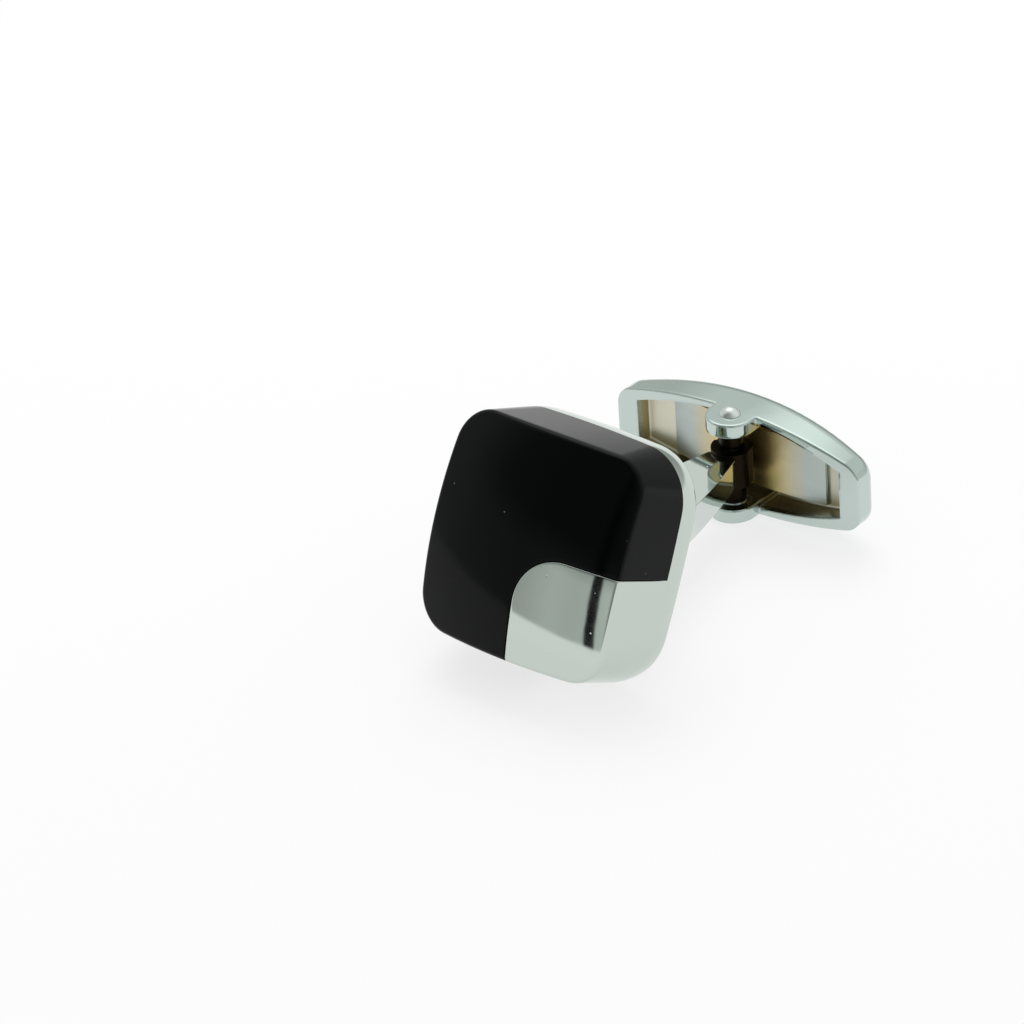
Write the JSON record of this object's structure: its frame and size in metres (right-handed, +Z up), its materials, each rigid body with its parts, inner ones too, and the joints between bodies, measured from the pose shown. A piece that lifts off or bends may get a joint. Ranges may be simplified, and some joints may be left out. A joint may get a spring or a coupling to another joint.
{
  "type": "cufflink",
  "caption": "Swivel-bar cufflink: domed cushion-square head with a gloss black inlay and a bright corner, a leaning flared post and a hollow boat-shaped toggle.",
  "frame": {"origin": "on the table under the middle of the part, as it lies on the lower back edge of its head and on its bar", "axes": "+Z up, +Y from the head's face towards the toggle bar, +X to the right as the face is seen"},
  "size_m": [0.0186, 0.0264, 0.0154],
  "materials": {
    "plated_metal": "polished plating",
    "black_resin": "deep gloss",
    "pin_steel": "polished",
    "spring_steel": "satin"
  },
  "bodies": {
    "head": {"head_tray": "plated_metal", "black_inlay": "black_resin", "post": "plated_metal"},
    "toggle": {"toggle_bar": "plated_metal", "pivot_pin": "pin_steel", "leaf_spring": "spring_steel"}
  },
  "joints": [
    {"name": "toggle_swivel", "type": "hinge", "parent": "head", "child": "toggle", "pos_m": [0, 0.00977, 0.00389], "axis": [0, 0.0594, 0.9982], "range_deg": [-73, 73]}
  ]
}
